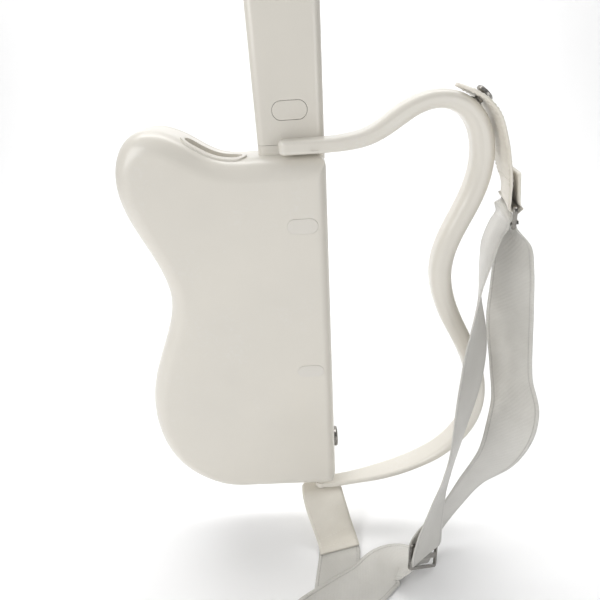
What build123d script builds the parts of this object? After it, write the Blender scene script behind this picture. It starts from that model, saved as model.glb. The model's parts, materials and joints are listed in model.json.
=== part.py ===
from build123d import *
import math
import os

# Electric travel guitar without strings: half body, hollow wing frame, folding neck, and its strap.
# Millimetres. +X is the right-hand side seen from the back, +Y is towards the front of the guitar,
# +Z runs up the neck. The origin lies on the flat bearing face under the body.

# ---- driving dimensions -------------------------------------------------------------------
BACK_Y = -30.0            # flat back of the body
BODY_DEPTH = 46.0         # back face to front face
FRONT_Y = BACK_Y + BODY_DEPTH
WALL = 3.0
EDGE_X = 28.5             # straight right-hand side of the body, in line with the neck
BODY_TOP = 390.0          # shoulder of the body beside the neck
BACK_ROUND = 18.0         # rounding of the back shell
EDGE_ROUND = 9.0          # tighter rounding along the straight side
PANEL_THICK = 3.0
SEAM_THICK = 0.8
SHELL_FRONT = FRONT_Y - PANEL_THICK - SEAM_THICK

NECK_LEFT = -28.0
NECK_BACK = -10.0         # flat back of the neck
SEAM_Z = 397.5            # where the neck meets its socket
NECK_TOP = 898.0
NECK_GAP = 0.3
NECK_WALL = 2.4
NECK_ROUND = 6.5
KEYBED_THICK = 2.6
FOLD_Y = FRONT_Y + 6.0    # axis of the folding hinge, in front of the front face
FOLD_Z = SEAM_Z + NECK_GAP / 2
FOLD_PIN_R = 1.5
FOLD_BARREL_R = 4.2

KEY_ROWS = 7
KEY_COLUMNS = 2
KEY_PITCH_Z = 34.0
KEY_PITCH_X = 25.0
KEY_SIZE_X = 20.0
KEY_SIZE_Z = 13.0
KEY_FIRST_Z = 600.0
KEY_PROUD = 1.8
KEY_CLEAR = 0.4

PADDLE_Z = (150.0, 226.0)
PADDLE_X = -2.0
PADDLE_LENGTH = 62.0
PADDLE_PROUD = 6.0
PADDLE_THICK = 5.0
PADDLE_AXIS_Y = FRONT_Y - 10.0
PADDLE_PIN_R = 1.5

SPEAKER_X = -88.0
SPEAKER_Z = 92.0
SPEAKER_R = 38.0
KNOB_X = -96.0
KNOB_Z = 322.0
KNOB_R = 13.0
BUTTONS = {"power_button": (-96.0, 282.0), "mode_button": (-96.0, 262.0)}
BUTTON_R = 5.0

JACK_Y = -7.0
JACK_Z = 63.0
JACK_PROUD = 4.5
JACK_R = 11.5
JACK_BORE_R = 3.25
JACK_BORE_LENGTH = 24.0

FLOOR_Z = -79.0           # level that the loose lower strap lies on
STRAP_WIDTH = 50.0
STRAP_THICK = 1.8
LEATHER_THICK = 3.0
RING_WIRE_R = 2.0

os.makedirs("parts", exist_ok=True)


def save(name, shape):
    """Write one sub-part to its STEP file."""
    export_step(shape, f"parts/{name}.step")


def moved(shape, x=0.0, y=0.0, z=0.0):
    """Shape shifted by x, y, z."""
    return Pos(x, y, z) * shape


def box_between(low, high):
    """Box from its lowest to its highest corner."""
    size = [b - a for a, b in zip(low, high)]
    centre = [(a + b) / 2 for a, b in zip(low, high)]
    return Pos(*centre) * Box(*size)


def cylinder_along(axis, radius, start, length):
    """Cylinder that starts at a point and runs a length along X, Y or Z."""
    direction = {"X": (1, 0, 0), "Y": (0, 1, 0), "Z": (0, 0, 1)}[axis]
    plane = Plane(origin=start, z_dir=direction)
    return extrude(plane * Circle(radius), amount=length)


def back_plane(y):
    """Sketch plane parallel to the back: local x is +X, local y is +Z, extruding towards +Y."""
    return Plane(origin=(0, y, 0), x_dir=(1, 0, 0), z_dir=(0, -1, 0))


def slab(sketch, low_y, high_y):
    """Solid between two depths from a sketch drawn in X and Z."""
    return extrude(back_plane(low_y) * sketch, amount=-(high_y - low_y))


def stadium(width, height, x, z):
    """Slot-ended sketch, longer along X."""
    return Pos(x, z) * SlotOverall(width, height)


# ---- body outline -------------------------------------------------------------------------
def grown(curve, amount, points=17):
    """Curve shifted to its right-hand side, which is outwards on an anticlockwise outline."""
    if amount == 0:
        return curve
    places = []
    steps = 1 if curve.geom_type == GeomType.LINE else points - 1
    for step in range(steps + 1):
        run = curve % (step / steps)
        places.append(curve @ (step / steps) + Vector(run.Y, -run.X) * amount)
    if steps == 1:
        return Line(*places)
    return Spline(*places, tangents=(curve % 0, curve % 1), tangent_scalars=(1, 1))


def body_outline(grow=0.0, wide=False):
    """Outline of the half body in X and Z, grown outwards; the wide one runs on to the right."""
    right_edge = EDGE_X + (120 if wide else 0)
    round_r = 60 if wide else 10
    bottom = Line((-80, 0), (4, 0))
    corner = Spline(
        (4, 0), (EDGE_X - 7.5, 7.5), (EDGE_X, 24), tangents=((1, 0), (0, 1)), tangent_scalars=(1, 1)
    )
    if wide:
        bottom = Line((-80, 0), (right_edge - round_r, 0))
        corner = RadiusArc((right_edge - round_r, 0), (right_edge, round_r), -round_r)
    side = Line(corner @ 1, (right_edge, BODY_TOP - round_r))
    shoulder = RadiusArc((right_edge, BODY_TOP - round_r), (right_edge - round_r, BODY_TOP), -round_r)
    top = Line((right_edge - round_r, BODY_TOP), (-34, BODY_TOP))
    cutaway = Spline(
        (-34, BODY_TOP), (-62, 392.5), (-88, 407), (-116, 416),
        tangents=((-1, 0), (-1, 0)), tangent_scalars=(1, 1),
    )
    flank = Spline(
        (-116, 416), (-140, 404), (-151, 372), (-138, 319), (-125, 268), (-140, 216),
        (-164, 156), (-170, 96), (-151, 38), (-118, 9), (-80, 0),
        tangents=((-1, 0), (1, 0)), tangent_scalars=(1.2, 1.2),
    )
    pieces = [bottom, corner, side, shoulder, top, cutaway, flank]
    return make_face([grown(piece, grow) for piece in pieces])


def rounded_body(grow, front_y):
    """Solid half body with its back edges rounded, from the back to a front depth."""
    back_y = BACK_Y - grow
    wide = slab(body_outline(grow, wide=True), back_y, front_y)
    back_edges = wide.faces().sort_by(Axis.Y)[0].edges()
    wide = fillet(back_edges, radius=BACK_ROUND + grow)
    right = EDGE_X + grow
    trim_shape = box_between((-260, back_y, -40), (right, front_y, BODY_TOP + 60))
    trim_edge = trim_shape.edges().filter_by(Axis.Z).sort_by(Axis.X)[-2:].sort_by(Axis.Y)[0]
    trim_shape = fillet(trim_edge, radius=EDGE_ROUND + grow)
    corners = slab(body_outline(grow), back_y - 1, front_y)
    return wide & trim_shape & corners


# ---- back shell ---------------------------------------------------------------------------
SLOT_X = -65.0
SLOT_Z = 396.0
SLOT_SLOPE = -17.0
SLOT_LENGTH = 52.0
SLOT_WIDTH = 15.0
SLOT_Y = BACK_Y + 20.0
SLOT_DEPTH = 9.0
PAD_Z = (177.5, 332.5)
PAD_X = 6.5
PAD_LENGTH = 27.0
PAD_HEIGHT = 14.0
SCREW_SPOTS = [(-132, 360), (-117.5, 268), (-146, 120), (-96, 20), (12, 30), (12, 366)]
SPIGOT_X = (-2.0, 19.0)
SPIGOT_Z = 394.8


def slot_prism(length, width, low, high):
    """Stadium prism through the horn's upper wall, square to the local slope."""
    plane = Plane(
        origin=(SLOT_X, SLOT_Y, SLOT_Z),
        x_dir=(math.cos(math.radians(SLOT_SLOPE)), 0, math.sin(math.radians(SLOT_SLOPE))),
        z_dir=(-math.sin(math.radians(SLOT_SLOPE)), 0, math.cos(math.radians(SLOT_SLOPE))),
    )
    prism = extrude(plane * SlotOverall(length, width), amount=high - low)
    return moved(prism, *(plane.z_dir * low))


def make_back_shell():
    outer = rounded_body(0.0, SHELL_FRONT)
    cavity = rounded_body(-WALL, SHELL_FRONT + 1)
    socket = box_between((NECK_LEFT, NECK_BACK, BODY_TOP - 6), (EDGE_X, SHELL_FRONT, SEAM_Z))
    socket = fillet(socket.edges().filter_by(Axis.Z).sort_by(Axis.Y)[:2], radius=NECK_ROUND)
    shell = (outer - cavity) + socket
    shell -= slot_prism(SLOT_LENGTH, SLOT_WIDTH, -20, 20)
    for pad_z in PAD_Z:
        shell -= slab(stadium(PAD_LENGTH, PAD_HEIGHT, PAD_X, pad_z), BACK_Y - 1, BACK_Y + 1.6)
    for x, z in SCREW_SPOTS:
        post = slab(Pos(x, z) * Circle(4.5), BACK_Y + WALL - 0.5, SHELL_FRONT)
        shell += post & outer
        shell -= slab(Pos(x, z) * Circle(1.4), SHELL_FRONT - 14, SHELL_FRONT + 1)
    for x in SPIGOT_X:
        shell -= cylinder_along("Y", 2.1, (x, NECK_BACK - 1, SPIGOT_Z), 9)
    shell -= cylinder_along("X", 7.0, (EDGE_X - 10, JACK_Y, JACK_Z), 20)
    shell -= cylinder_along("Z", 2.1, (WING_FOOT_X, WING_FOOT_Y, -2), 30)
    return shell


def make_slot_liner():
    tray = slot_prism(SLOT_LENGTH, SLOT_WIDTH, -20, 20)
    lip = slot_prism(SLOT_LENGTH + 4, SLOT_WIDTH + 4, -20, 20)
    core = slot_prism(SLOT_LENGTH - 3, SLOT_WIDTH - 3, -20, 20)
    top = rounded_body(1.4, SHELL_FRONT)
    surface = rounded_body(0.0, SHELL_FRONT)
    floor_top = slab(body_outline(-SLOT_DEPTH, wide=True), BACK_Y, SHELL_FRONT)
    floor_bottom = slab(body_outline(-SLOT_DEPTH - 1.5, wide=True), BACK_Y, SHELL_FRONT)
    rim = (lip & top) - surface - core
    walls = (tray & surface) - floor_bottom - (core - floor_top)
    return rim + walls


# ---- wing frame ---------------------------------------------------------------------------
WING_FOOT_X = 11.0
WING_FOOT_Y = -12.0
BAR_LEFT = -9.4
# centre x, centre z, middle depth y, width seen from the back, depth front to back
WING_STATIONS = [
    (20.0, 397.6, -20.2, 11.0, 19.6),
    (24.0, 397.6, -20.2, 11.0, 19.6),
    (29.0, 397.7, -20.2, 11.0, 19.6),
    (47.0, 398.9, -20.0, 11.8, 19.6),
    (64.0, 402.6, -19.5, 12.8, 20.0),
    (80.0, 411.0, -19.0, 14.0, 20.0),
    (96.0, 421.0, -18.5, 14.2, 20.0),
    (115.0, 426.6, -18.0, 13.6, 20.5),
    (134.0, 422.8, -17.5, 14.2, 21.0),
    (149.0, 409.0, -17.0, 16.0, 21.5),
    (156.5, 388.0, -17.0, 17.6, 22.0),
    (156.5, 364.0, -16.5, 18.4, 22.5),
    (149.0, 338.0, -16.0, 18.6, 23.0),
    (138.5, 312.0, -15.5, 18.8, 23.5),
    (133.0, 288.0, -15.0, 19.0, 24.0),
    (134.5, 263.0, -14.5, 19.0, 24.0),
    (144.0, 234.0, -14.0, 18.6, 24.5),
    (159.5, 203.0, -13.0, 18.0, 25.0),
    (174.0, 172.0, -12.0, 17.6, 25.5),
    (184.0, 138.0, -11.0, 17.0, 26.0),
    (185.5, 104.0, -10.5, 15.5, 26.0),
    (176.5, 72.0, -10.0, 13.0, 25.5),
    (159.0, 46.0, -9.8, 10.6, 25.0),
    (134.0, 25.5, -9.8, 8.6, 24.5),
    (104.0, 10.5, -10.2, 7.4, 23.5),
    (70.0, 0.0, -11.0, 7.0, 20.0),
    (38.0, -6.4, -11.8, 7.0, 17.0),
    (13.0, -8.6, -12.0, 7.0, 15.0),
]


def wing_section(index):
    """Rounded section of the wing frame, square to its run."""
    x, z, y, width, depth = WING_STATIONS[index]
    before = WING_STATIONS[max(index - 1, 0)]
    after = WING_STATIONS[min(index + 1, len(WING_STATIONS) - 1)]
    run = Vector(after[0] - before[0], after[2] - before[2], after[1] - before[1])
    plane = Plane(origin=(x, y, z), x_dir=Vector(run.Z, 0, -run.X), z_dir=run)
    radius = min(3.0 + 0.6 * max(index - 2, 0), 0.42 * min(width, depth))
    return plane * RectangleRounded(width, depth, radius)


def make_wing_frame():
    sections = [wing_section(i) for i in range(len(WING_STATIONS))]
    frame = loft(sections)
    x, z, y, height, depth = WING_STATIONS[0]
    bar = box_between((BAR_LEFT, y - depth / 2, z - height / 2), (x, y + depth / 2, z + height / 2))
    bar = fillet(bar.edges().filter_by(Axis.Z).sort_by(Axis.X)[:2], radius=6.0)
    rim = bar.edges().group_by(Axis.Z)
    bar = fillet(rim[0] + rim[-1] - bar.faces().sort_by(Axis.X)[-1].edges(), radius=3.0)
    frame += bar
    last = WING_STATIONS[-1]
    foot = cylinder_along("Z", last[4] / 2, (WING_FOOT_X, last[2], last[1] - last[3] / 2), last[3])
    frame += foot
    frame += cylinder_along("Z", 6.0, (WING_FOOT_X, WING_FOOT_Y, -9), 11)
    frame -= rounded_body(0.0, SHELL_FRONT)
    frame = frame.solids().sort_by(SortBy.VOLUME)[-1]
    frame -= extrude(Plane(origin=UPPER_BUTTON, z_dir=UPPER_BUTTON_DIR) * Circle(6.2), amount=12)
    frame -= cylinder_along("Z", 6.2, (WING_FOOT_X, WING_FOOT_Y, LOWER_BUTTON_Z - 10), 10)
    frame -= box_between((16.5, -31, 394.8), (22.5, -29.2, 397.0))
    for x in SPIGOT_X:
        frame += cylinder_along("Y", 2.0, (x, NECK_BACK - 6, SPIGOT_Z), 10)
    frame -= cylinder_along("Z", 2.1, (WING_FOOT_X, WING_FOOT_Y, -30), 60)
    return frame


# ---- front panel and what is set into it --------------------------------------------------
def make_front_panel():
    low = SHELL_FRONT + SEAM_THICK
    panel = slab(body_outline(), low, FRONT_Y)
    panel = fillet(panel.faces().sort_by(Axis.Y)[-1].edges(), radius=1.5)
    panel -= slab(Pos(SPEAKER_X, SPEAKER_Z) * Circle(SPEAKER_R + 0.2), low - 1, FRONT_Y + 1)
    for paddle_z in PADDLE_Z:
        slot = Pos(PADDLE_X, paddle_z) * Rectangle(PADDLE_THICK + 4.2, PADDLE_LENGTH + 2.0)
        panel -= slab(slot, low - 1, FRONT_Y + 1)
    panel -= slab(Pos(KNOB_X, KNOB_Z) * Circle(4.0), low - 1, FRONT_Y + 1)
    for x, z in BUTTONS.values():
        panel -= slab(Pos(x, z) * Circle(BUTTON_R + 0.3), low - 1, FRONT_Y + 1)
    return panel


def make_seam_gasket():
    ring = body_outline(-0.15) - body_outline(-WALL)
    return slab(ring, SHELL_FRONT, SHELL_FRONT + SEAM_THICK)


def make_speaker_grille():
    """Flat disc with rings of round holes."""
    disc = Circle(SPEAKER_R)
    for ring in range(1, 7):
        holes = 6 * ring
        for step in range(holes):
            angle = 2 * math.pi * step / holes
            radius = 5.4 * ring
            disc -= Pos(radius * math.cos(angle), radius * math.sin(angle)) * Circle(1.5)
    return slab(Pos(SPEAKER_X, SPEAKER_Z) * (disc - Circle(1.5)), FRONT_Y - 2.2, FRONT_Y - 0.6)


def revolved_about_y(points, x, z):
    """Solid of revolution about a +Y axis from (radius, depth) corners."""
    profile = make_face(Polyline(*points, close=True))
    ring = revolve(Plane.XY * profile, axis=Axis.Y)
    return moved(ring, x, 0, z)


def make_speaker():
    back = FRONT_Y - 34
    cone = [
        (11.0, back + 14), (11.8, back + 14), (11.8, back + 21), (32.5, back + 28.5),
        (33.5, back + 28.5), (33.5, back + 29.3), (31.9, back + 29.3), (10.0, back + 21.8),
        (0.0, back + 24.5), (0.0, back + 23.7), (10.4, back + 21.0), (11.0, back + 20.6),
    ]
    basket = [
        (15.0, back + 9.2), (24.0, back + 9.2), (35.5, back + 25.5), (38.5, back + 25.5),
        (38.5, back + 30.6), (35.5, back + 30.6), (35.5, back + 27.0), (34.4, back + 27.0),
        (23.0, back + 11.0), (15.0, back + 11.0),
    ]
    magnet = [
        (0.0, back), (24.0, back), (24.0, back + 9.0), (12.6, back + 9.0), (12.6, back + 3.0),
        (10.2, back + 3.0), (10.2, back + 16.0), (0.0, back + 16.0),
    ]
    save("speaker_cone", revolved_about_y(cone, SPEAKER_X, SPEAKER_Z))
    save("speaker_basket", revolved_about_y(basket, SPEAKER_X, SPEAKER_Z))
    save("speaker_magnet", revolved_about_y(magnet, SPEAKER_X, SPEAKER_Z))


def make_paddle(centre_z):
    """Strum paddle: a fin on a hub, rocking about a pin along Z."""
    half = PADDLE_LENGTH / 2
    top = FRONT_Y + PADDLE_PROUD
    fin = box_between(
        (PADDLE_X - PADDLE_THICK / 2, PADDLE_AXIS_Y, centre_z - half),
        (PADDLE_X + PADDLE_THICK / 2, top, centre_z + half),
    )
    fin = fillet(fin.edges().group_by(Axis.Y)[-1], radius=1.9)
    hub = cylinder_along("Z", 3.6, (PADDLE_X, PADDLE_AXIS_Y, centre_z - half), PADDLE_LENGTH)
    bore = cylinder_along(
        "Z", PADDLE_PIN_R + 0.05, (PADDLE_X, PADDLE_AXIS_Y, centre_z - half - 1), PADDLE_LENGTH + 2
    )
    return fin + hub - bore


def make_paddle_frame():
    back = PADDLE_AXIS_Y - 8.5
    low_z = PADDLE_Z[0] - 40
    high_z = PADDLE_Z[1] + 40
    frame = box_between((PADDLE_X - 13, back, low_z), (PADDLE_X + 13, back + 2.5, high_z))
    pins = []
    for centre_z in PADDLE_Z:
        for side in (-1, 1):
            ear_z = centre_z + side * (PADDLE_LENGTH / 2 + 1.8)
            frame += box_between(
                (PADDLE_X - 5, back, ear_z - 1.2), (PADDLE_X + 5, PADDLE_AXIS_Y + 4, ear_z + 1.2)
            )
        length = PADDLE_LENGTH + 8
        start = (PADDLE_X, PADDLE_AXIS_Y, centre_z - length / 2)
        frame -= cylinder_along("Z", PADDLE_PIN_R, start, length)
        pins.append(cylinder_along("Z", PADDLE_PIN_R, start, length))
    for x in (PADDLE_X - 10, PADDLE_X + 10):
        for z in (low_z + 4, high_z - 4):
            frame += cylinder_along("Y", 2.5, (x, back + 1, z), SHELL_FRONT + SEAM_THICK - back - 1)
    save("paddle_frame", frame)
    save("paddle_pins", Compound(pins))


def make_knob():
    knob = slab(Pos(KNOB_X, KNOB_Z) * Circle(KNOB_R), FRONT_Y + 0.6, FRONT_Y + 13)
    knob = fillet(knob.edges().group_by(Axis.Y)[-1], radius=1.5)
    for step in range(24):
        angle = 2 * math.pi * step / 24
        x = KNOB_X + (KNOB_R + 0.2) * math.cos(angle)
        z = KNOB_Z + (KNOB_R + 0.2) * math.sin(angle)
        knob -= cylinder_along("Y", 0.7, (x, FRONT_Y, z), 11)
    knob -= cylinder_along("Y", 3.0, (KNOB_X, FRONT_Y, KNOB_Z), 9)
    shaft = cylinder_along("Y", 3.0, (KNOB_X, FRONT_Y - 10, KNOB_Z), 19)
    encoder = box_between((KNOB_X - 7, FRONT_Y - 12, KNOB_Z - 7), (KNOB_X + 7, FRONT_Y - 5.5, KNOB_Z + 7))
    encoder += cylinder_along("Y", 3.9, (KNOB_X, FRONT_Y - 6, KNOB_Z), 5)
    encoder -= cylinder_along("Y", 3.05, (KNOB_X, FRONT_Y - 10.05, KNOB_Z), 12)
    save("volume_knob", knob)
    save("knob_shaft", shaft)
    save("volume_encoder", encoder)


def make_button(x, z):
    low = FRONT_Y - PANEL_THICK
    button = slab(Pos(x, z) * Circle(BUTTON_R), low - 1, FRONT_Y + 1.6)
    button = fillet(button.edges().group_by(Axis.Y)[-1], radius=0.8)
    return button + slab(Pos(x, z) * Circle(BUTTON_R + 1.2), low - 1.6, low - 0.6)


def make_switch_blocks():
    blocks = []
    for x, z in BUTTONS.values():
        low = FRONT_Y - PANEL_THICK - 11
        blocks.append(box_between((x - 6, low, z - 6), (x + 6, low + 6, z + 6)))
        blocks[-1] += cylinder_along("Y", 1.8, (x, low + 5, z), 2.6)
    return Compound(blocks)


def make_electronics():
    board = box_between((-112, -4.0, 236), (-30, -2.4, 346))
    chips = [(-60, 330, 14, 14), (-60, 304, 9, 12), (-46, 282, 16, 10), (-74, 250, 20, 8)]
    for x, z, size_x, size_z in chips:
        board += box_between(
            (x - size_x / 2, -2.6, z - size_z / 2), (x + size_x / 2, -0.6, z + size_z / 2)
        )
    save("main_board", board)
    battery = box_between((-46, -25, 14), (6, -9, 104))
    save("battery_pack", fillet(battery.edges(), radius=2.0))


# ---- output jack --------------------------------------------------------------------------
def make_jack():
    start = EDGE_X
    dome = cylinder_along("X", JACK_R, (start, JACK_Y, JACK_Z), JACK_PROUD)
    dome = fillet(dome.edges().group_by(Axis.X)[-1], radius=2.6)
    dome += cylinder_along("X", 6.9, (start - 4, JACK_Y, JACK_Z), 5)
    dome -= cylinder_along("X", JACK_BORE_R, (start - 20, JACK_Y, JACK_Z), 40)
    socket_length = JACK_BORE_LENGTH - JACK_PROUD - 4
    socket = cylinder_along("X", 6.5, (start - 4 - socket_length, JACK_Y, JACK_Z), socket_length)
    socket -= cylinder_along("X", JACK_BORE_R, (start - 40, JACK_Y, JACK_Z), 50)
    save("jack_ferrule", dome)
    save("jack_socket", socket)


# ---- neck ---------------------------------------------------------------------------------
def neck_outline(inset=0.0, low_z=SEAM_Z + NECK_GAP):
    """Outline of the neck and its flared head in X and Z."""
    right = Line((EDGE_X, low_z), (EDGE_X, 790))
    up, lean_right, lean_left, down = (0, 1), (0.2, 0.98), (0.3, -0.954), (0, -1)
    flare_right = Spline(
        (EDGE_X, 790), (32, 822), (40, 850), tangents=(up, lean_right), tangent_scalars=(1, 1)
    )
    head = Spline(
        (40, 850), (34, 884), (0, NECK_TOP), (-34, 888), (-43, 858),
        tangents=(lean_right, lean_left), tangent_scalars=(1, 1),
    )
    flare_left = Spline(
        (-43, 858), (-33, 824), (NECK_LEFT, 790), tangents=(lean_left, down), tangent_scalars=(1, 1)
    )
    left = Line((NECK_LEFT, 790), (NECK_LEFT, low_z))
    foot = Line((NECK_LEFT + inset, low_z), (EDGE_X - inset, low_z))
    pieces = [grown(piece, -inset) for piece in (right, flare_right, head, flare_left, left)]
    return make_face([foot] + pieces)


HEEL_X = 1.0
HEEL_Z = 424.0
HEEL_LENGTH = 28.5
HEEL_HEIGHT = 14.5


def make_neck_shell():
    front = FRONT_Y - KEYBED_THICK
    blank = slab(neck_outline(0.0, SEAM_Z - 60), NECK_BACK, front)
    blank = fillet(blank.faces().sort_by(Axis.Y)[0].edges(), radius=NECK_ROUND)
    blank -= box_between((-90, -90, 0), (90, 90, SEAM_Z + NECK_GAP))
    hollow = slab(neck_outline(NECK_WALL, SEAM_Z + 4), NECK_BACK + NECK_WALL, front + 1)
    shell = blank - hollow
    opening = stadium(HEEL_LENGTH + 0.6, HEEL_HEIGHT + 0.6, HEEL_X, HEEL_Z)
    shell -= slab(opening, NECK_BACK - 1, NECK_BACK + NECK_WALL + 1)
    return shell


def key_places():
    """Row, column and centre of every chord key."""
    places = []
    for row in range(KEY_ROWS):
        for column in range(KEY_COLUMNS):
            x = (column - (KEY_COLUMNS - 1) / 2) * KEY_PITCH_X
            z = KEY_FIRST_Z + row * KEY_PITCH_Z
            places.append((row + 1, column + 1, x, z))
    return places


def make_keybed():
    keybed = slab(neck_outline(), FRONT_Y - KEYBED_THICK, FRONT_Y)
    window_x = KEY_SIZE_X + 2 * KEY_CLEAR
    window_z = KEY_SIZE_Z + 2 * KEY_CLEAR
    windows = [Pos(x, z) * Rectangle(window_x, window_z) for _, _, x, z in key_places()]
    for window in windows:
        keybed -= slab(window, FRONT_Y - KEYBED_THICK - 1, FRONT_Y + 1)
    return keybed


def make_key(x, z):
    low = FRONT_Y - KEYBED_THICK
    cap = slab(Pos(x, z) * RectangleRounded(KEY_SIZE_X, KEY_SIZE_Z, 2.5), low - 1, FRONT_Y + KEY_PROUD)
    cap = fillet(cap.edges().group_by(Axis.Y)[-1], radius=0.9)
    flange = Pos(x, z) * Rectangle(KEY_SIZE_X + 3, KEY_SIZE_Z + 3)
    return cap + slab(flange, low - 1.4, low - 0.3)


def make_neck_board():
    low = FRONT_Y - 10.0
    board = box_between((-22, low, KEY_FIRST_Z - 40), (22, low + 1.6, KEY_FIRST_Z + 240))
    for _, _, x, z in key_places():
        board += cylinder_along("Y", 3.0, (x, low + 1, z), 3.0)
    return board


def make_heel_button():
    button = slab(stadium(HEEL_LENGTH, HEEL_HEIGHT, HEEL_X, HEEL_Z), NECK_BACK, NECK_BACK + 3.4)
    button = fillet(button.edges().group_by(Axis.Y)[0], radius=0.4)
    stem = box_between((HEEL_X - 4, NECK_BACK + 3, HEEL_Z - 4), (HEEL_X + 4, NECK_BACK + 9, HEEL_Z + 4))
    hook = box_between((HEEL_X - 4, NECK_BACK + 7, SEAM_Z + 5.5), (HEEL_X + 4, NECK_BACK + 9, HEEL_Z))
    return button + stem + hook


# ---- folding hinge ------------------------------------------------------------------------
def knuckle(low_x, high_x, side):
    """Hinge knuckle with its leaf on the front face, above (side 1) or below (side -1) the seam."""
    length = high_x - low_x
    part = cylinder_along("X", FOLD_BARREL_R, (low_x, FOLD_Y, FOLD_Z), length)
    near = FOLD_Z + side * 0.3
    far = FOLD_Z + side * 9
    part += box_between((low_x, FRONT_Y, min(near, far)), (high_x, FOLD_Y, max(near, far)))
    part -= cylinder_along("X", FOLD_PIN_R + 0.05, (low_x - 1, FOLD_Y, FOLD_Z), length + 2)
    return part


def make_hinge():
    outer = []
    for low_x, high_x in ((-24.0, -10.3), (10.3, 24.0)):
        outer.append(knuckle(low_x, high_x, -1))
    leaf = box_between((-24, FRONT_Y, BODY_TOP - 18), (24, FRONT_Y + 2.0, BODY_TOP - 1.0))
    base = leaf + outer[0] + outer[1]
    base -= box_between((-10.3, FRONT_Y - 1, FOLD_Z - 9), (10.3, FOLD_Y + 9, FOLD_Z + 9))
    neck_leaf = box_between((-10, FRONT_Y, SEAM_Z + 4), (10, FRONT_Y + 2.0, SEAM_Z + 24))
    save("hinge_base", base)
    save("hinge_leaf", neck_leaf + knuckle(-10.0, 10.0, 1))
    save("hinge_pin", cylinder_along("X", FOLD_PIN_R, (-25.0, FOLD_Y, FOLD_Z), 50.0))


# ---- strap buttons, ring and strap --------------------------------------------------------
UPPER_BUTTON = (146.6, -17.5, 421.6)
UPPER_BUTTON_DIR = (0.70, 0.0, 0.714)
LOWER_BUTTON_Z = -11.6


def strap_button(origin, direction):
    """Turned button: foot, waist and head, along its own direction."""
    profile = make_face(Polyline(
        (0, 0), (6.0, 0), (6.0, 1.2), (3.6, 2.6), (3.6, 7.6), (7.6, 8.4), (7.6, 10.2), (6.6, 11.0),
        (0, 11.0), close=True,
    ))
    turned = revolve(Plane.XZ * profile, axis=Axis.Z)
    return Plane(origin=origin, z_dir=direction) * turned


def ribbon(stations, thickness):
    """Flat strip through stations (centre, direction across, width)."""
    sections = []
    for index, (centre, across, width) in enumerate(stations):
        before = Vector(*stations[max(index - 1, 0)][0])
        after = Vector(*stations[min(index + 1, len(stations) - 1)][0])
        side = Vector(*across).normalized()
        run = (after - before).normalized()
        run = (run - side * run.dot(side)).normalized()
        plane = Plane(origin=Vector(*centre), x_dir=side, z_dir=run)
        sections.append(plane * Rectangle(width, thickness))
    length = sum(
        (Vector(*b[0]) - Vector(*a[0])).length for a, b in zip(stations, stations[1:])
    )
    return loft(sections, ruled=True), length


LEATHER_UPPER = [
    ((131, -17, 435.6), (0, -1, 0), 24), ((141, -17, 431.2), (0, -1, 0), 30),
    ((151.4, -17, 425.0), (0, -1, 0), 34), ((161.6, -17, 413.6), (0, -1, 0), 37),
    ((168.6, -17, 396), (0, -1, 0.02), 40), ((174.2, -17, 379), (-0.05, -1, 0), 43),
    ((179.4, -17, 364), (-0.12, -0.98, -0.06), 45), ((183.8, -17, 350.5), (-0.2, -0.97, -0.12), 46),
]
WEBBING_FRONT = [
    ((181.4, -17.4, 325.0), (-0.2, -0.97, -0.12), 50), ((176, -19, 313), (-0.08, -0.95, 0.22), 50),
    ((171, -24, 296), (-0.1, -0.92, 0.37), 50), ((167, -30, 262), (-0.31, -0.84, 0.45), 50),
    ((167, -40, 214), (-0.58, -0.6, 0.56), 50), ((165, -47, 179), (-0.66, -0.6, 0.45), 50),
    ((161, -53, 143), (-0.6, -0.61, 0.52), 50), ((153, -63, 97), (-0.4, -0.62, 0.67), 50),
    ((144, -72, 65), (-0.35, -0.62, 0.7), 50), ((135, -78.5, 32), (-0.45, -0.6, 0.66), 50),
    ((129, -83.5, -6), (-0.58, -0.5, 0.63), 50), ((126.6, -87.2, -38), (-0.66, -0.42, 0.62), 50),
    ((126.2, -88.6, -47), (-0.66, -0.42, 0.62), 50),
]
WEBBING_REAR = [
    ((190.6, -17.4, 325.4), (-0.2, -0.97, -0.12), 50), ((195, -18, 305), (0.12, -0.86, 0.45), 50),
    ((199, -18, 281), (0.25, -0.85, 0.42), 50), ((205, -14, 240), (0.45, -0.85, 0.25), 50),
    ((212, -8, 200), (0.6, -0.78, 0.2), 50), ((220, -12, 150), (0.55, -0.8, 0.2), 50),
    ((226, -25, 105), (0.75, -0.6, -0.05), 50), ((212, -40, 60), (0.86, -0.1, -0.5), 50),
    ((183, -45, 21), (0.75, 0.35, -0.55), 50), ((161, -53, -10), (0.66, 0.45, -0.6), 50),
    ((141, -62, -33), (0.66, 0.43, -0.62), 50), ((123.8, -75.4, -44.6), (0.66, 0.42, -0.62), 50),
]
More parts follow.
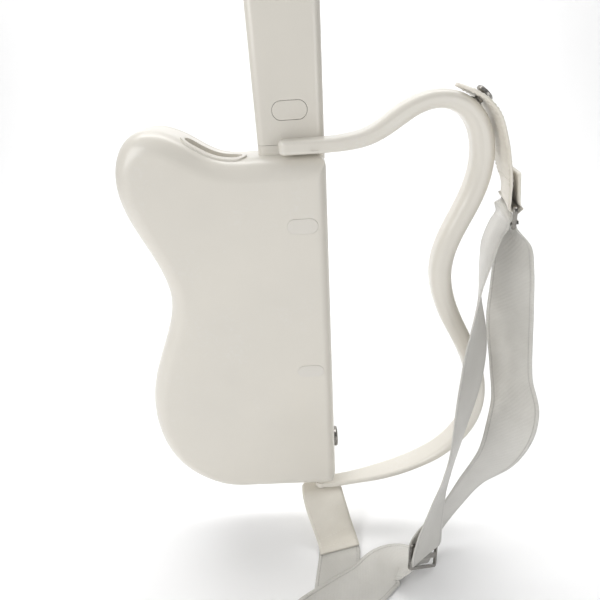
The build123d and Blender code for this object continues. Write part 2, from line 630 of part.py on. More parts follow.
WEBBING_LOWER = [
    ((117.4, -91.0, -60.4), (0.5, 0.62, -0.6), 50), ((110, -87, -66), (0.15, 0.9, -0.4), 50),
    ((98, -80, -72), (-0.2, 0.95, -0.2), 50), ((80, -84, -75.6), (-0.5, 0.86, 0), 50),
    ((58, -102, -74), (-0.62, 0.77, 0.05), 50), ((34, -118, -69), (-0.6, 0.78, 0.1), 50),
    ((8, -136, -65), (-0.5, 0.8, 0.25), 50), ((-20, -158, -59), (-0.3, 0.6, 0.74), 50),
    ((-38, -182, -54), (0, 0.1, 1), 50), ((-40, -208, -53.5), (0, 0, 1), 50),
    ((-20, -224, -53.5), (0, 0, 1), 50), ((2, -212, -54), (0.1, 0, 1), 50),
    ((12, -186, -61), (0.6, -0.1, 0.75), 50), ((16, -156, -74), (0.95, -0.15, 0.2), 50),
    ((19, -125, -77.8), (0.97, -0.1, 0), 50), ((24, -95, -77.8), (0.97, 0.1, 0), 50),
    ((28, -72, -77.8), (0.95, 0.25, 0), 50), ((29.6, -58, -77.8), (0.92, 0.36, 0), 50),
]
LEATHER_LOWER = [
    ((9, 3, -15.8), (1, 0, 0), 40), ((10.5, -9, -16.0), (1, 0, 0), 48),
    ((11.8, -22, -17.4), (1, 0.03, -0.04), 50), ((15, -29.5, -30), (0.98, 0.12, -0.08), 50),
    ((21, -36.5, -53), (0.94, 0.28, -0.1), 50), ((26.4, -45.5, -69.6), (0.92, 0.36, 0), 50),
    ((30.2, -60, -74.8), (0.92, 0.36, 0), 50),
]
RING_CENTRE = (186.5, -17.0, 337.0)
RING_LONG = (0.2, 0.97, 0.12)
SLIDER_CENTRE = (124.0, -86.0, -51.0)
SLIDER_LONG = (0.661, 0.421, -0.621)
SLIDER_RUN = (-0.221, -0.682, -0.697)


def make_strap():
    upper, upper_length = ribbon(LEATHER_UPPER, LEATHER_THICK)
    slot_plane = Plane(origin=UPPER_BUTTON, z_dir=UPPER_BUTTON_DIR)
    upper -= extrude(slot_plane * Circle(4.2), amount=12)
    lower, lower_length = ribbon(LEATHER_LOWER, LEATHER_THICK)
    lower -= cylinder_along("Z", 4.2, (WING_FOOT_X, WING_FOOT_Y, -30), 20)
    front, front_length = ribbon(WEBBING_FRONT, STRAP_THICK)
    rear, rear_length = ribbon(WEBBING_REAR, STRAP_THICK)
    loose, loose_length = ribbon(WEBBING_LOWER, STRAP_THICK)
    print("strap lengths", upper_length, lower_length, front_length, rear_length, loose_length)
    save("strap_end_upper", upper)
    save("strap_end_lower", lower)
    save("webbing_front", front)
    save("webbing_rear", rear)
    save("webbing_lower", loose)


def make_ring():
    through = Vector(*RING_LONG).cross(Vector(-0.08, 0, 1))
    plane = Plane(origin=RING_CENTRE, x_dir=RING_LONG, z_dir=through)
    outer = RectangleRounded(STRAP_WIDTH + 9, 20, 4)
    inner = RectangleRounded(STRAP_WIDTH + 2, 13, 2)
    half = RING_WIRE_R - 0.25
    ring = extrude(plane * (outer - inner), amount=half, both=True)
    long_edges = [edge for edge in ring.edges().filter_by(GeomType.LINE) if edge.length > STRAP_WIDTH - 6]
    return fillet(long_edges, radius=1.2)


def make_slider():
    plane = Plane(origin=SLIDER_CENTRE, x_dir=SLIDER_LONG, z_dir=Vector(*SLIDER_LONG).cross(
        Vector(*SLIDER_RUN)
    ))
    outline = RectangleRounded(STRAP_WIDTH + 8, 26, 4)
    for side in (-1, 1):
        outline -= Pos(0, side * 6.4) * RectangleRounded(STRAP_WIDTH + 1.5, 7.5, 2)
    slider = extrude(plane * outline, amount=2.6)
    return moved(slider, *(plane.z_dir * -1.3))


def make_screws():
    """Self-tapping screws from the front edge into the posts of the back shell."""
    screws = []
    for x, z in SCREW_SPOTS:
        screw = cylinder_along("Y", 1.4, (x, SHELL_FRONT - 12, z), 12.0)
        screw += cylinder_along("Y", 2.6, (x, SHELL_FRONT, z), SEAM_THICK)
        screws.append(screw)
    return Compound(screws)


def make_back_pads():
    """Two slot-shaped plugs set into the back."""
    pads = []
    for pad_z in PAD_Z:
        pad = slab(stadium(PAD_LENGTH - 0.16, PAD_HEIGHT - 0.16, PAD_X, pad_z), BACK_Y - 0.5, BACK_Y + 1.6)
        pads.append(fillet(pad.edges().group_by(Axis.Y)[0], radius=0.45))
    return Compound(pads)


def make_foot_screw():
    """Screw up through the frame's foot into the body."""
    return cylinder_along("Z", 2.1, (WING_FOOT_X, WING_FOOT_Y, LOWER_BUTTON_Z), 24)


save("back_shell", make_back_shell())
save("slot_liner", make_slot_liner())
save("back_pads", make_back_pads())
save("seam_gasket", make_seam_gasket())
save("front_panel", make_front_panel())
save("shell_screws", make_screws())
save("wing_frame", make_wing_frame())
save("wing_screw", make_foot_screw())
save("speaker_grille", make_speaker_grille())
make_speaker()
make_paddle_frame()
save("strum_paddle_lower", make_paddle(PADDLE_Z[0]))
save("strum_paddle_upper", make_paddle(PADDLE_Z[1]))
make_knob()
for button_name, (button_x, button_z) in BUTTONS.items():
    save(button_name, make_button(button_x, button_z))
save("switch_blocks", make_switch_blocks())
make_electronics()
make_jack()
save("neck_shell", make_neck_shell())
save("keybed", make_keybed())
save("neck_board", make_neck_board())
for key_row, key_column, key_x, key_z in key_places():
    save(f"chord_key_{key_row}_{key_column}", make_key(key_x, key_z))
save("heel_button", make_heel_button())
make_hinge()
save("strap_button_upper", strap_button(UPPER_BUTTON, UPPER_BUTTON_DIR))
save("strap_button_lower", strap_button((WING_FOOT_X, WING_FOOT_Y, LOWER_BUTTON_Z), (0, 0, -1)))
save("strap_ring", make_ring())
save("strap_slider", make_slider())
make_strap()
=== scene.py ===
import json
import math

import bmesh
import bpy
from mathutils import Matrix, Vector


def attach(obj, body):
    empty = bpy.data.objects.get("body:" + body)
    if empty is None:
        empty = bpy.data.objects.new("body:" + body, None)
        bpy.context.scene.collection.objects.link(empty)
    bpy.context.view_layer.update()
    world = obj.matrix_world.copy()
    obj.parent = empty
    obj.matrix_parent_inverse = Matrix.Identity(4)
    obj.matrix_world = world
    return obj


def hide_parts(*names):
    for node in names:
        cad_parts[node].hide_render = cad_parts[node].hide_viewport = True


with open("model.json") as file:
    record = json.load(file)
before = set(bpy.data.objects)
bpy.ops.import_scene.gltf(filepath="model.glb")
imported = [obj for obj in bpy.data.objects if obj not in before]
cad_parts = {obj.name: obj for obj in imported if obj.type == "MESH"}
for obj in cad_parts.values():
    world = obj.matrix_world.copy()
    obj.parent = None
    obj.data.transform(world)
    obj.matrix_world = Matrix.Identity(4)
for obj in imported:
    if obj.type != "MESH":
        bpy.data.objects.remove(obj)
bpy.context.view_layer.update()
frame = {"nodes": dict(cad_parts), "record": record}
nodes = frame["nodes"]
scene = bpy.context.scene
MM = 0.001  # the strap's stations are in millimetres, the frame is in metres
FLOOR = -0.0795  # level with the lowest of the loose webbing, which hangs below the body
WEBBING_WIDTH = 50
WEBBING_THICK = 1.6
LEATHER_THICK = 2.6
SEAM_INSET = 3.0
STITCH_LENGTH = 2.6
STITCH_GAP = 1.3
THREAD_RADIUS = 0.32


# ---- materials ----------------------------------------------------------------------------
class Nodes:
    """Short hand for building one material's node tree."""

    def __init__(self, name):
        self.material = bpy.data.materials.new(name)
        self.material.use_nodes = True
        self.tree = self.material.node_tree
        self.tree.nodes.clear()
        self.out = self.add("ShaderNodeOutputMaterial")
        self.shader = self.add("ShaderNodeBsdfPrincipled")
        self.link(self.shader.outputs["BSDF"], self.out.inputs["Surface"])
        self.coords = self.add("ShaderNodeTexCoord")

    def add(self, kind, **values):
        node = self.tree.nodes.new(kind)
        for key, value in values.items():
            setattr(node, key, value)
        return node

    def link(self, a, b):
        self.tree.links.new(a, b)

    def mapped(self, source, scale):
        node = self.add("ShaderNodeMapping")
        node.inputs["Scale"].default_value = scale
        self.link(self.coords.outputs[source], node.inputs["Vector"])
        return node.outputs["Vector"]

    def noise(self, vector, scale, detail=4.0, roughness=0.55, distortion=0.0):
        node = self.add("ShaderNodeTexNoise")
        node.inputs["Scale"].default_value = scale
        node.inputs["Detail"].default_value = detail
        node.inputs["Roughness"].default_value = roughness
        node.inputs["Distortion"].default_value = distortion
        self.link(vector, node.inputs["Vector"])
        return node.outputs["Fac"]

    def wave(self, vector, scale, direction="X", distortion=0.0, detail_scale=1.0):
        node = self.add("ShaderNodeTexWave", wave_type="BANDS", bands_direction=direction)
        node.inputs["Scale"].default_value = scale
        node.inputs["Distortion"].default_value = distortion
        node.inputs["Detail Scale"].default_value = detail_scale
        self.link(vector, node.inputs["Vector"])
        return node.outputs["Fac"]

    def spread(self, value, low, high, from_low=0.3, from_high=0.7):
        node = self.add("ShaderNodeMapRange")
        node.inputs["From Min"].default_value = from_low
        node.inputs["From Max"].default_value = from_high
        node.inputs["To Min"].default_value = low
        node.inputs["To Max"].default_value = high
        self.link(value, node.inputs["Value"])
        return node.outputs["Result"]

    def maths(self, operation, a, b):
        node = self.add("ShaderNodeMath", operation=operation)
        for socket, value in zip(node.inputs, (a, b)):
            if isinstance(value, (int, float)):
                socket.default_value = value
            else:
                self.link(value, socket)
        return node.outputs["Value"]

    def mix(self, fac, a, b):
        node = self.add("ShaderNodeMix", data_type="RGBA")
        self.link(fac, node.inputs["Factor"])
        # a Mix node's colour sockets share their names with its float ones, so they go by place
        for socket, value in ((node.inputs[6], a), (node.inputs[7], b)):
            if isinstance(value, tuple):
                socket.default_value = (*value, 1.0)
            else:
                self.link(value, socket)
        return node.outputs[2]

    def bump(self, height, distance, strength=1.0, before=None):
        node = self.add("ShaderNodeBump")
        node.inputs["Strength"].default_value = strength
        node.inputs["Distance"].default_value = distance
        self.link(height, node.inputs["Height"])
        if before is not None:
            self.link(before, node.inputs["Normal"])
        return node.outputs["Normal"]


def moulded(
    name, base, shade, wear, rough, grain=900.0, depth=0.00003, coat=0.0, metallic=0.0, blotch=9.0
):
    """Moulded, painted or metal surface: tone drift, handling marks, rubbed spots and a fine skin."""
    n = Nodes(name)
    here = n.coords.outputs["Object"]
    drift = n.spread(n.noise(here, blotch, 3.0), 0.0, 1.0)
    colour = n.mix(drift, base, shade)
    marks = n.noise(here, 60.0, 6.0, 0.65)
    colour = n.mix(n.spread(marks, 0.0, 0.25, 0.56, 0.74), colour, shade)
    rubbed = n.maths("MULTIPLY", n.noise(here, 14.0, 5.0, 0.7), n.noise(here, 240.0, 4.0, 0.7))
    colour = n.mix(n.spread(rubbed, 0.0, 0.35, 0.3, 0.44), colour, wear)
    n.link(colour, n.shader.inputs["Base Color"])
    smear = n.noise(n.mapped("Object", (1.0, 1.0, 0.4)), 40.0, 3.0, 0.5)
    n.link(n.spread(smear, rough[0], rough[1], 0.1, 0.9), n.shader.inputs["Roughness"])
    n.shader.inputs["Metallic"].default_value = metallic
    n.shader.inputs["Coat Weight"].default_value = coat
    n.shader.inputs["Coat Roughness"].default_value = 0.12
    skin = n.bump(n.noise(here, grain, 3.0), depth)
    n.link(n.bump(n.noise(here, 35.0, 2.0), depth * 4.0, 1.0, skin), n.shader.inputs["Normal"])
    return n.material


def leather(name, base, shade):
    """Smooth cream leather: pebble grain, creases and a soft polish."""
    n = Nodes(name)
    here = n.coords.outputs["Object"]
    cells = n.add("ShaderNodeTexVoronoi", feature="DISTANCE_TO_EDGE")
    cells.inputs["Scale"].default_value = 900.0
    n.link(here, cells.inputs["Vector"])
    pores = n.spread(cells.outputs["Distance"], 0.0, 1.0, 0.0, 0.25)
    creases = n.noise(n.mapped("UV", (1.0, 6.0, 1.0)), 40.0, 6.0, 0.6, 1.2)
    drift = n.spread(n.noise(here, 22.0, 4.0), 0.0, 1.0)
    colour = n.mix(drift, base, shade)
    colour = n.mix(n.spread(pores, 0.25, 0.0, 0.0, 1.0), colour, shade)
    n.link(colour, n.shader.inputs["Base Color"])
    n.link(n.spread(creases, 0.36, 0.55), n.shader.inputs["Roughness"])
    n.shader.inputs["Sheen Weight"].default_value = 0.08
    grain = n.bump(pores, 0.00006)
    n.link(n.bump(creases, 0.00025, 1.0, grain), n.shader.inputs["Normal"])
    return n.material


def webbing(name, base, shade):
    """Satin webbing: lengthwise warp, crosswise ribs, a twill slant and firmer woven edges."""
    n = Nodes(name)
    across = n.mapped("UV", (1.0, 0.0, 0.0))
    along = n.mapped("UV", (0.0, 1.0, 0.0))
    warp = n.wave(across, 420.0, "X")
    ribs = n.wave(along, 300.0, "Y")
    slant = n.wave(n.mapped("UV", (1.0, 1.0, 0.0)), 130.0, "DIAGONAL", 0.3, 4.0)
    weave = n.maths("ADD", n.maths("MULTIPLY", warp, 0.35), n.maths("MULTIPLY", ribs, 0.65))
    weave = n.maths("ADD", weave, n.maths("MULTIPLY", slant, 0.5))
    split = n.add("ShaderNodeSeparateXYZ")
    n.link(n.coords.outputs["UV"], split.inputs["Vector"])
    side = n.maths("ABSOLUTE", split.outputs["X"], 0.0)
    groove_at = 0.0212
    selvedge = n.spread(side, 0.0, 1.0, groove_at, 0.0218)
    from_groove = n.maths("ABSOLUTE", n.maths("SUBTRACT", side, groove_at), 0.0)
    groove_and_shade = n.spread(from_groove, 1.0, 0.0, 0.0, 0.0007)
    picots = n.wave(along, 95.0, "Y")
    drift = n.spread(n.noise(n.coords.outputs["Object"], 18.0, 5.0), 0.0, 1.0)
    colour = n.mix(drift, base, shade)
    colour = n.mix(n.maths("MULTIPLY", n.spread(weave, 1.0, 0.0, 0.2, 0.9), 0.28), colour, shade)
    # the groove by each edge is darkened in colour as well as dipped in the bump: painted shade in the groove
    colour = n.mix(n.maths("MULTIPLY", groove_and_shade, 0.55), colour, tuple(0.6 * c for c in shade))
    n.link(colour, n.shader.inputs["Base Color"])
    n.link(n.spread(weave, 0.5, 0.3, 0.2, 1.1), n.shader.inputs["Roughness"])
    n.shader.inputs["Sheen Weight"].default_value = 0.25
    n.shader.inputs["Sheen Roughness"].default_value = 0.35
    n.shader.inputs["Specular IOR Level"].default_value = 0.62
    height = n.maths("SUBTRACT", weave, n.maths("MULTIPLY", groove_and_shade, 1.4))
    height = n.maths("ADD", height, n.maths("MULTIPLY", n.maths("MULTIPLY", selvedge, picots), 1.2))
    fine = n.bump(height, 0.00022)
    ripple = n.noise(n.coords.outputs["Object"], 45.0, 3.0)
    n.link(n.bump(ripple, 0.0006, 1.0, fine), n.shader.inputs["Normal"])
    return n.material


def turned_metal(name, base, shade, rough):
    """Dark nickel plate: faint lathe and brushing lines under handling marks."""
    n = Nodes(name)
    lines = n.noise(n.mapped("Object", (1.0, 40.0, 40.0)), 60.0, 5.0, 0.6)
    drift = n.spread(n.noise(n.coords.outputs["Object"], 160.0, 4.0), 0.0, 1.0)
    n.link(n.mix(drift, base, shade), n.shader.inputs["Base Color"])
    n.link(n.spread(lines, rough[0], rough[1]), n.shader.inputs["Roughness"])
    n.shader.inputs["Metallic"].default_value = 1.0
    n.link(n.bump(lines, 0.00002), n.shader.inputs["Normal"])
    return n.material


WHITE = (0.705, 0.673, 0.605)
WHITE_SHADE = (0.672, 0.643, 0.582)
WORN_WHITE = (0.72, 0.70, 0.665)
looks = {
    "shell_white": moulded("shell_white", WHITE, WHITE_SHADE, WORN_WHITE, (0.26, 0.4), coat=0.25),
    "panel_white": moulded("panel_white", WHITE, WHITE_SHADE, WORN_WHITE, (0.24, 0.38), coat=0.3),
    "pad_white": moulded("pad_white", (0.685, 0.66, 0.612), WHITE_SHADE, WORN_WHITE, (0.35, 0.5)),
    "dark_trim": moulded(
        "dark_trim", (0.018, 0.018, 0.019), (0.03, 0.03, 0.031), (0.12, 0.12, 0.12), (0.4, 0.6)
    ),
    "seal_rubber": moulded(
        "seal_rubber", (0.012, 0.012, 0.012), (0.03, 0.03, 0.03), (0.06, 0.06, 0.06), (0.6, 0.85)
    ),
    "key_black": moulded(
        "key_black", (0.02, 0.02, 0.022), (0.032, 0.032, 0.034), (0.14, 0.14, 0.14), (0.3, 0.5),
        grain=1500.0,
    ),
    "frame_black": moulded(
        "frame_black", (0.02, 0.02, 0.02), (0.04, 0.04, 0.04), (0.1, 0.1, 0.1), (0.5, 0.7)
    ),
    "paper_black": moulded(
        "paper_black", (0.025, 0.024, 0.023), (0.04, 0.038, 0.036), (0.07, 0.07, 0.07), (0.75, 0.95),
        grain=500.0, depth=0.00008,
    ),
    "nickel": turned_metal("nickel", (0.34, 0.325, 0.3), (0.25, 0.24, 0.225), (0.2, 0.36)),
    "steel": turned_metal("steel", (0.56, 0.56, 0.55), (0.45, 0.45, 0.45), (0.22, 0.35)),
    "iron": moulded(
        "iron", (0.2, 0.2, 0.2), (0.14, 0.14, 0.14), (0.35, 0.35, 0.35), (0.4, 0.6), metallic=0.9
    ),
    "grille_steel": moulded(
        "grille_steel", (0.03, 0.03, 0.03), (0.05, 0.05, 0.05), (0.3, 0.3, 0.3), (0.35, 0.5)
    ),
    "board": moulded(
        "board", (0.015, 0.11, 0.045), (0.02, 0.15, 0.06), (0.3, 0.25, 0.12), (0.3, 0.45), blotch=60.0
    ),
    "battery": moulded("battery", (0.03, 0.05, 0.16), (0.04, 0.06, 0.2), (0.2, 0.2, 0.3), (0.25, 0.4)),
    "contact_grey": moulded(
        "contact_grey", (0.12, 0.12, 0.125), (0.17, 0.17, 0.17), (0.3, 0.3, 0.3), (0.4, 0.6)
    ),
    "cream_leather": leather("cream_leather", (0.77, 0.735, 0.66), (0.68, 0.64, 0.56)),
    "webbing": webbing("webbing", (0.70, 0.685, 0.645), (0.58, 0.565, 0.525)),
}
thread = moulded(
    "thread", (0.80, 0.77, 0.70), (0.7, 0.67, 0.6), (0.86, 0.84, 0.78), (0.6, 0.8),
    grain=4000.0, depth=0.0001,
)

slot_of = {row["node"]: row["material_slot"] for row in frame["record"]["subparts"]}
for node_name, node in nodes.items():
    node.data.materials.clear()
    node.data.materials.append(looks[slot_of[node_name]])


# ---- strips of webbing and leather ----------------------------------------------------------
def between(a, b, c, d, t):
    """Smooth curve through b and c, with a and d as its neighbours."""
    return 0.5 * (
        (2 * b) + (c - a) * t + (2 * a - 5 * b + 4 * c - d) * t**2 + (3 * b - a - 3 * c + d) * t**3
    )


def run_through(stations, step=2.5):
    """Stations (centre, across, width) filled in about every step millimetres."""
    fine = []
    last = len(stations) - 1
    for i in range(last):
        four = [stations[min(max(k, 0), last)] for k in (i - 1, i, i + 1, i + 2)]
        gap = (Vector(four[2][0]) - Vector(four[1][0])).length
        count = max(1, round(gap / step))
        for j in range(count + (i == last - 1)):
            t = j / count
            centre = between(*[Vector(s[0]) for s in four], t)
            across = between(*[Vector(s[1]).normalized() for s in four], t).normalized()
            width = four[1][2] + (four[2][2] - four[1][2]) * t
            fine.append([centre, across, width])
    for i, station in enumerate(fine):
        run = fine[min(i + 1, len(fine) - 1)][0] - fine[max(i - 1, 0)][0]
        side = (station[1] - run * (station[1].dot(run) / run.length_squared)).normalized()
        station[1] = side
        station.append(side.cross(run).normalized())
    return fine


def strip(name, stations, thick, columns, cup=0.0, bead=1.0, rounded_start=0.0):
    """Closed strip with rounded edges; its UV is metres across and along.

    Returns the object, its rows and its length in millimetres.
    """
    bead_from, lip_from, lip = 0.86, 0.97, 0.45  # shares of the half width, and of the thickness
    narrowest = 0.06  # square of the tip's share of the width
    rows = run_through(stations)
    travelled = [0.0]
    for a, b in zip(rows, rows[1:]):
        travelled.append(travelled[-1] + (b[0] - a[0]).length)
    total = travelled[-1]
    mesh = bmesh.new()
    uv = mesh.loops.layers.uv.new("UVMap")
    rings = []
    places = {}
    for row, along in zip(rows, travelled):
        centre, side, width, normal = row
        if along < rounded_start:
            width *= math.sqrt(max(narrowest, 1 - (1 - along / rounded_start) ** 2))
        ring = []
        for face in (1, -1):
            for k in range(columns + 1):
                s = face * (2 * k / columns - 1)
                edge = abs(s)
                half = thick / 2 * (1.0 if edge < bead_from else bead if edge < lip_from else lip)
                lift = cup * (1 - s * s)
                point = centre + side * (s * width / 2) + normal * (face * half + lift)
                vertex = mesh.verts.new(point * MM)
                places[vertex] = (s * width / 2 * MM, along * MM)
                ring.append(vertex)
        rings.append(ring)
    count = len(rings[0])
    for a, b in zip(rings, rings[1:]):
        for k in range(count):
            mesh.faces.new((a[k], a[(k + 1) % count], b[(k + 1) % count], b[k]))
    for ring in (list(reversed(rings[0])), rings[-1]):
        for k in range(columns):
            mesh.faces.new((ring[k], ring[k + 1], ring[count - 2 - k], ring[count - 1 - k]))
    bmesh.ops.recalc_face_normals(mesh, faces=mesh.faces)
    for f in mesh.faces:
        f.smooth = True
        for loop in f.loops:
            loop[uv].uv = places[loop.vert]
    data = bpy.data.meshes.new(name)
    mesh.to_mesh(data)
    mesh.free()
    made = bpy.data.objects.new(name, data)
    scene.collection.objects.link(made)
    return made, rows, total


def stitch_row(mesh, points, normals):
    """Short thread stitches laid end to end along points, sunk a little into the surface."""
    travelled = 0.0
    next_at = 0.0
    for a, b, normal in zip(points, points[1:], normals):
        piece = (b - a).length
        while piece > 0 and next_at <= travelled + piece:
            at = a.lerp(b, (next_at - travelled) / piece)
            run = (b - a).normalized()
            add_stitch(mesh, at, run, normal)
            next_at += STITCH_LENGTH + STITCH_GAP
        travelled += piece


def add_stitch(mesh, at, run, normal):
    """One stitch: a rounded six-sided thread that dips at both ends."""
    sides = 6
    # place along the stitch, share of the thread's radius, height in radii
    profile = ((-0.5, 0.25, -0.5), (-0.36, 0.9, 0.15), (0.0, 1.0, 0.45), (0.36, 0.9, 0.15), (0.5, 0.25, -0.5))
    side = run.cross(normal).normalized()
    rings = []
    for t, size, dip in profile:
        centre = at + run * (t * STITCH_LENGTH) + normal * (dip * THREAD_RADIUS)
        ring = []
        for k in range(sides):
            angle = math.tau * k / sides
            offset = side * math.cos(angle) + normal * math.sin(angle)
            ring.append(mesh.verts.new((centre + offset * (THREAD_RADIUS * size)) * MM))
        rings.append(ring)
    for a, b in zip(rings, rings[1:]):
        for k in range(sides):
            mesh.faces.new((a[k], a[(k + 1) % sides], b[(k + 1) % sides], b[k])).smooth = True
    mesh.faces.new(list(reversed(rings[0])))
    mesh.faces.new(rings[-1])


def seam_point(row, edge, face):
    """Place of a seam on one face of a strip's row, near the edge on the given side."""
    centre, side, width, normal = row
    return centre + side * (edge * (width / 2 - SEAM_INSET)) + normal * (face * LEATHER_THICK / 2)


def stitched(name, rows, first, last, bars):
    """Stitching along both edges of a leather strip, and across it at the given shares of its length."""
    mesh = bmesh.new()
    steps = 10
    picked = rows[int(first * (len(rows) - 1)):int(last * (len(rows) - 1)) + 1]
    for face in (1, -1):
        for edge in (-1, 1):
            points = [seam_point(row, edge, face) for row in picked]
            stitch_row(mesh, points, [row[3] * face for row in picked])
        for share in bars:
            row = rows[int(share * (len(rows) - 1))]
            start, end = (seam_point(row, edge, face) for edge in (-1, 1))
            points = [start.lerp(end, k / steps) for k in range(steps + 1)]
            stitch_row(mesh, points, [row[3] * face] * (steps + 1))
    bmesh.ops.recalc_face_normals(mesh, faces=mesh.faces)
    data = bpy.data.meshes.new(name)
    mesh.to_mesh(data)
    mesh.free()
    made = bpy.data.objects.new(name, data)
    scene.collection.objects.link(made)
    made.data.materials.append(thread)
    return made


# The webbing's path, in millimetres: centre and direction across. It never changes its width.
front_stations = [
    ((181.6, -17.4, 324.0), (-0.2, -0.97, -0.12)), ((176, -19, 312), (-0.08, -0.95, 0.22)),
    ((171, -24, 296), (-0.1, -0.92, 0.37)), ((167, -30, 262), (-0.31, -0.84, 0.45)),
    ((167, -40, 214), (-0.58, -0.6, 0.56)), ((165, -47, 179), (-0.66, -0.6, 0.45)),
    ((161, -53, 143), (-0.6, -0.61, 0.52)), ((153, -63, 97), (-0.4, -0.62, 0.67)),
    ((144, -72, 65), (-0.35, -0.62, 0.7)), ((135, -78.5, 32), (-0.45, -0.6, 0.66)),
    ((129, -83.5, -6), (-0.58, -0.5, 0.63)), ((126.6, -87.2, -38), (-0.66, -0.42, 0.62)),
    ((126.2, -88.6, -47), (-0.66, -0.42, 0.62)),
]
ring_turn = [
    ((182.7, -17.2, 328.6), (-0.2, -0.97, -0.12)), ((184.6, -17, 332.0), (-0.2, -0.97, -0.12)),
    ((187.6, -17, 332.2), (-0.2, -0.97, -0.12)), ((189.6, -17.2, 329.0), (-0.2, -0.97, -0.12)),
]
rear_stations = [
    ((190.6, -17.4, 324.0), (-0.2, -0.97, -0.12)), ((195, -18, 305), (0.12, -0.86, 0.45)),
    ((199, -18, 281), (0.25, -0.85, 0.42)), ((205, -14, 240), (0.45, -0.85, 0.25)),
    ((212, -8, 200), (0.6, -0.78, 0.2)), ((220, -12, 150), (0.55, -0.8, 0.2)),
    ((226, -25, 105), (0.75, -0.6, -0.05)), ((212, -40, 60), (0.86, -0.1, -0.5)),
    ((183, -45, 21), (0.75, 0.35, -0.55)), ((161, -53, -10), (0.66, 0.45, -0.6)),
    ((141, -62, -33), (0.66, 0.43, -0.62)),
]
slider_turn = [
    ((123.8, -75.4, -44.6), (0.66, 0.42, -0.62)), ((121.3, -82.6, -51.4), (0.661, 0.421, -0.621)),
    ((119.6, -87.6, -56.6), (0.64, 0.45, -0.62)),
]
loose_stations = [
    ((116.6, -91.4, -61.4), (0.5, 0.62, -0.6)), ((109.6, -87.4, -66.4), (0.15, 0.9, -0.4)),
    ((98, -80, -72), (-0.2, 0.95, -0.2)), ((80, -84, -75.6), (-0.5, 0.86, 0)),
    ((58, -102, -74), (-0.62, 0.77, 0.05)), ((34, -118, -69), (-0.6, 0.78, 0.1)),
    ((8, -136, -65), (-0.5, 0.8, 0.25)), ((-20, -158, -59), (-0.3, 0.6, 0.74)),
    ((-38, -182, -54), (0, 0.1, 1)), ((-40, -208, -53.5), (0, 0, 1)),
    ((-20, -224, -53.5), (0, 0, 1)), ((2, -212, -54), (0.1, 0, 1)),
    ((12, -186, -61), (0.6, -0.1, 0.75)), ((16, -156, -74), (0.95, -0.15, 0.2)),
    ((19, -125, -77.8), (0.97, -0.1, 0)), ((24, -95, -77.8), (0.97, 0.1, 0)),
    ((28, -72, -77.8), (0.95, 0.25, 0)), ((29.6, -58, -77.8), (0.92, 0.36, 0)),
    ((27.6, -50, -76.6), (0.92, 0.36, 0)),
]
# The leather ends: centre, direction across and width.
upper_stations = [
    ((131, -17, 435.6), (0, -1, 0), 24), ((141, -17, 431.2), (0, -1, 0), 30),
    ((151.4, -17, 425.0), (0, -1, 0), 34), ((161.6, -17, 413.6), (0, -1, 0), 37),
    ((168.6, -17, 396), (0, -1, 0.02), 40), ((174.2, -17, 379), (-0.05, -1, 0), 43),
    ((179.0, -17, 364), (-0.12, -0.98, -0.06), 45), ((182.2, -17, 351), (-0.2, -0.97, -0.12), 46),
    ((182.8, -17, 344.0), (-0.2, -0.97, -0.12), 46), ((185.0, -17, 339.9), (-0.2, -0.97, -0.12), 46),
    ((188.6, -17, 340.8), (-0.2, -0.97, -0.12), 46), ((189.8, -17, 346.0), (-0.2, -0.97, -0.12), 46),
    ((187.6, -17, 357), (-0.16, -0.97, -0.1), 46), ((183.4, -17, 370), (-0.08, -0.98, -0.03), 45),
]
lower_stations = [
    ((9, 3, -15.8), (1, 0, 0), 40), ((10.5, -9, -16.0), (1, 0, 0), 48),
    ((11.8, -22, -17.4), (1, 0.03, -0.04), 50), ((15, -29.5, -30), (0.98, 0.12, -0.08), 50),
    ((21, -36.5, -53), (0.94, 0.28, -0.1), 50), ((26.4, -45.5, -69.6), (0.92, 0.36, 0), 50),
    ((30.2, -60, -74.8), (0.92, 0.36, 0), 50),
]

long_path = [
    (centre, across, WEBBING_WIDTH)
    for centre, across in front_stations[::-1] + ring_turn + rear_stations + slider_turn + loose_stations
]
web, _, web_length = strip("strap_webbing", long_path, WEBBING_THICK, columns=16, cup=0.5, bead=1.2)
web.data.materials.append(looks["webbing"])
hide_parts("webbing_front", "webbing_rear", "webbing_lower")
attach(web, "guitar")

# Each leather end: its path, where its edge seams stop and where seams cross it, as shares of its length.
ends = (
    ("strap_end_upper", upper_stations, 0.66, (0.63,)),
    ("strap_end_lower", lower_stations, 0.96, (0.8, 0.93)),
)
for end_name, path, seam_end, bars in ends:
    piece, piece_rows, piece_length = strip(
        end_name + "_leather", path, LEATHER_THICK, columns=12, bead=0.92, rounded_start=14.0
    )
    piece.data.materials.append(looks["cream_leather"])
    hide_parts(end_name)
    seams = stitched(end_name + "_stitching", piece_rows, 0.07, seam_end, bars)
    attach(piece, "guitar")
    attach(seams, "guitar")


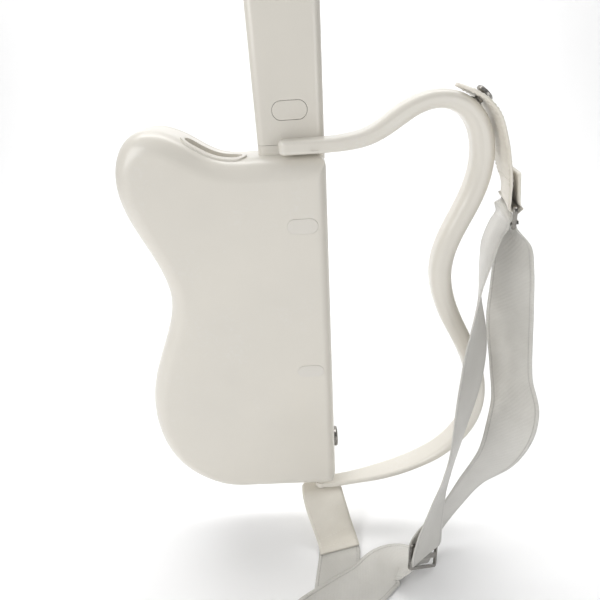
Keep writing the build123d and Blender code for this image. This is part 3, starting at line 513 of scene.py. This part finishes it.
# ---- room, light and camera -----------------------------------------------------------------
def sweep():
    """Pale floor that curves up into a wall behind."""
    mesh = bmesh.new()
    half_width, wall_foot, radius, wall_top, steps = 6.0, 1.2, 0.8, 5.0, 16
    line = [(-half_width, 0.0), (wall_foot, 0.0)]
    for k in range(1, steps + 1):
        angle = math.pi / 2 * k / steps
        line.append((wall_foot + radius * math.sin(angle), radius - radius * math.cos(angle)))
    line.append((wall_foot + radius, wall_top))
    rows = [[mesh.verts.new((x, y, z + FLOOR)) for x in (-half_width, half_width)] for y, z in line]
    for a, b in zip(rows, rows[1:]):
        mesh.faces.new((a[0], a[1], b[1], b[0])).smooth = True
    data = bpy.data.meshes.new("floor")
    mesh.to_mesh(data)
    mesh.free()
    floor = bpy.data.objects.new("floor", data)
    scene.collection.objects.link(floor)
    n = Nodes("floor")
    tone = n.noise(n.coords.outputs["Object"], 3.0, 3.0)
    n.link(n.mix(tone, (0.93, 0.93, 0.93), (0.95, 0.95, 0.95)), n.shader.inputs["Base Color"])
    n.link(n.spread(tone, 0.55, 0.65), n.shader.inputs["Roughness"])
    floor.data.materials.append(n.material)


def softbox(name, place, aim, size, power):
    """Rectangular white lamp at place, turned to face aim."""
    light = bpy.data.lights.new(name, "AREA")
    light.shape = "RECTANGLE"
    light.size, light.size_y = size
    light.energy = power
    lamp = bpy.data.objects.new(name, light)
    lamp.location = place
    lamp.rotation_euler = (Vector(aim) - Vector(place)).to_track_quat("-Z", "Y").to_euler()
    scene.collection.objects.link(lamp)


sweep()
softbox("key", (-1.3, -1.2, 1.0), (0, 0, 0.2), (1.1, 1.1), 18)
softbox("top", (0.1, 0.6, 2.2), (0, 0, 0.1), (2.4, 1.4), 17)
softbox("fill", (0.9, -1.6, 0.35), (0, 0, 0.0), (1.0, 0.8), 6)
softbox("wall", (0.0, 0.6, 2.4), (0, 2.0, 0.7), (3.0, 0.8), 45)
world = bpy.data.worlds.new("studio")
world.use_nodes = True
world.node_tree.nodes["Background"].inputs["Color"].default_value = (1.0, 1.0, 1.0, 1.0)
world.node_tree.nodes["Background"].inputs["Strength"].default_value = 0.25
scene.world = world

camera = bpy.data.objects.new("camera", bpy.data.cameras.new("camera"))
camera.data.lens = 27.0
camera.data.sensor_width = 36.0
camera.data.clip_start = 0.01
camera_place = (0.0117, -0.4008, 0.4617)
right = Vector((0.9983, 0.0, -0.0582))
up = Vector((0.0511, 0.4766, 0.8776))
turn = Matrix((right, up, right.cross(up).normalized())).transposed().to_4x4()
camera.matrix_world = Matrix.Translation(camera_place) @ turn
scene.collection.objects.link(camera)
scene.camera = camera
scene.view_settings.view_transform = "Standard"
